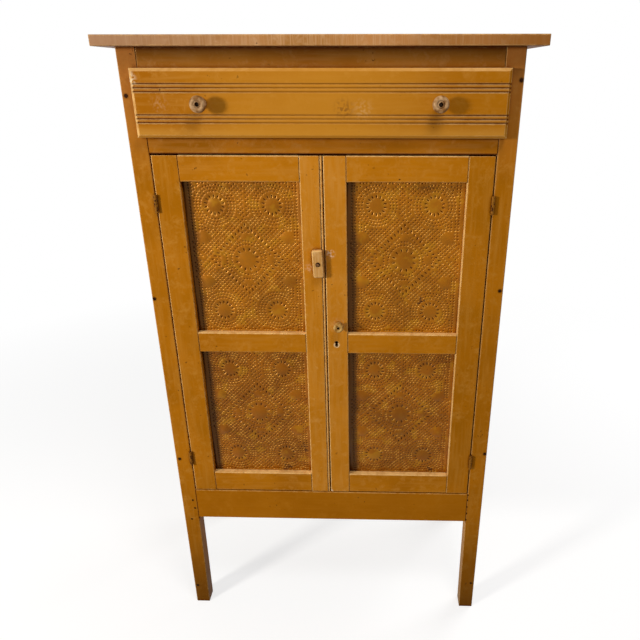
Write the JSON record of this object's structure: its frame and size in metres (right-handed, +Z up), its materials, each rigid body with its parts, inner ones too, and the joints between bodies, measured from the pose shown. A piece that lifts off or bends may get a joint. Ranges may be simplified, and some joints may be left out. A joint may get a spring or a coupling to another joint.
{
  "type": "pie safe",
  "caption": "Tall painted pie safe: a wide drawer above hinged doors with punched-tin air panels, a wooden turn button and a keyed lock, on straight square legs.",
  "frame": {"origin": "on the floor under the middle of the bounding box", "axes": "+Z up, the front with the doors faces -Y, +X is the viewer's right when facing the front"},
  "size_m": [0.826, 0.4446, 1.4193],
  "materials": {
    "mustard_paint": "old satin mustard paint over wood, rubbed pale on the edges and brown in the recesses",
    "raw_wood": "unpainted, dry and slightly toned by age",
    "painted_tin": "thin mustard paint on tinplate, mottled brown, with a little rust at the edges",
    "painted_iron": "mustard paint over iron, worn through on the knuckles",
    "dark_iron": "dark oxidised iron",
    "worn_knob": "turned wood, paint mostly rubbed away, dark in the hollows",
    "bare_wood": "bare worn wood with open grain"
  },
  "bodies": {
    "case": {"top_board": "mustard_paint", "apron": "mustard_paint", "middle_rail": "mustard_paint", "top_rail": "mustard_paint", "right_front_post": "mustard_paint", "left_front_post": "mustard_paint", "right_rear_post": "mustard_paint", "left_rear_post": "mustard_paint", "right_side_board": "mustard_paint", "left_side_board": "mustard_paint", "back_board_1": "raw_wood", "back_board_2": "raw_wood", "back_board_3": "raw_wood", "bottom_board": "raw_wood", "lower_shelf_board": "raw_wood", "upper_shelf_board": "raw_wood", "right_bottom_cleat": "raw_wood", "left_bottom_cleat": "raw_wood", "right_lower_shelf_cleat": "raw_wood", "left_lower_shelf_cleat": "raw_wood", "right_upper_shelf_cleat": "raw_wood", "left_upper_shelf_cleat": "raw_wood", "right_drawer_runner": "raw_wood", "left_drawer_runner": "raw_wood", "right_drawer_kicker": "raw_wood", "left_drawer_kicker": "raw_wood", "right_lower_hinge_post_leaf": "painted_iron", "left_lower_hinge_post_leaf": "painted_iron", "right_upper_hinge_post_leaf": "painted_iron", "left_upper_hinge_post_leaf": "painted_iron"},
    "left_door": {"left_door_hinge_stile": "mustard_paint", "left_door_meeting_stile": "mustard_paint", "left_door_bottom_rail": "mustard_paint", "left_door_middle_rail": "mustard_paint", "left_door_top_rail": "mustard_paint", "left_lower_tin": "painted_tin", "left_upper_tin": "painted_tin", "left_lower_hinge_door_leaf": "painted_iron", "left_upper_hinge_door_leaf": "painted_iron", "turn_button_screw": "dark_iron"},
    "right_door": {"right_door_hinge_stile": "mustard_paint", "right_door_meeting_stile": "mustard_paint", "right_door_bottom_rail": "mustard_paint", "right_door_middle_rail": "mustard_paint", "right_door_top_rail": "mustard_paint", "right_lower_tin": "painted_tin", "right_upper_tin": "painted_tin", "right_lower_hinge_door_leaf": "painted_iron", "right_upper_hinge_door_leaf": "painted_iron", "door_knob": "worn_knob", "lock_case": "dark_iron"},
    "turn_button": {"turn_button": "bare_wood"},
    "lock_bolt": {"lock_bolt": "dark_iron"},
    "drawer": {"drawer_front": "mustard_paint", "right_drawer_side": "raw_wood", "left_drawer_side": "raw_wood", "drawer_back": "raw_wood", "drawer_bottom": "raw_wood", "right_drawer_knob": "worn_knob", "left_drawer_knob": "worn_knob"}
  },
  "joints": [
    {"name": "right_door_swing", "type": "hinge", "parent": "case", "child": "right_door", "pos_m": [0.3425, -0.1748, 0.7955], "axis": [0, 0, 1], "range_deg": [0, 175]},
    {"name": "left_door_swing", "type": "hinge", "parent": "case", "child": "left_door", "pos_m": [-0.3425, -0.1748, 0.7955], "axis": [0, 0, -1], "range_deg": [0, 175]},
    {"name": "drawer_slide", "type": "slide", "parent": "case", "child": "drawer", "axis": [0, -1, 0], "range_m": [0, 0.28]},
    {"name": "turn_button_turn", "type": "hinge", "parent": "left_door", "child": "turn_button", "pos_m": [-0.014, -0.178, 0.985], "axis": [0, -1, 0], "continuous": true},
    {"name": "lock_bolt_slide", "type": "slide", "parent": "right_door", "child": "lock_bolt", "axis": [-1, 0, 0], "range_m": [0, 0.008]}
  ]
}
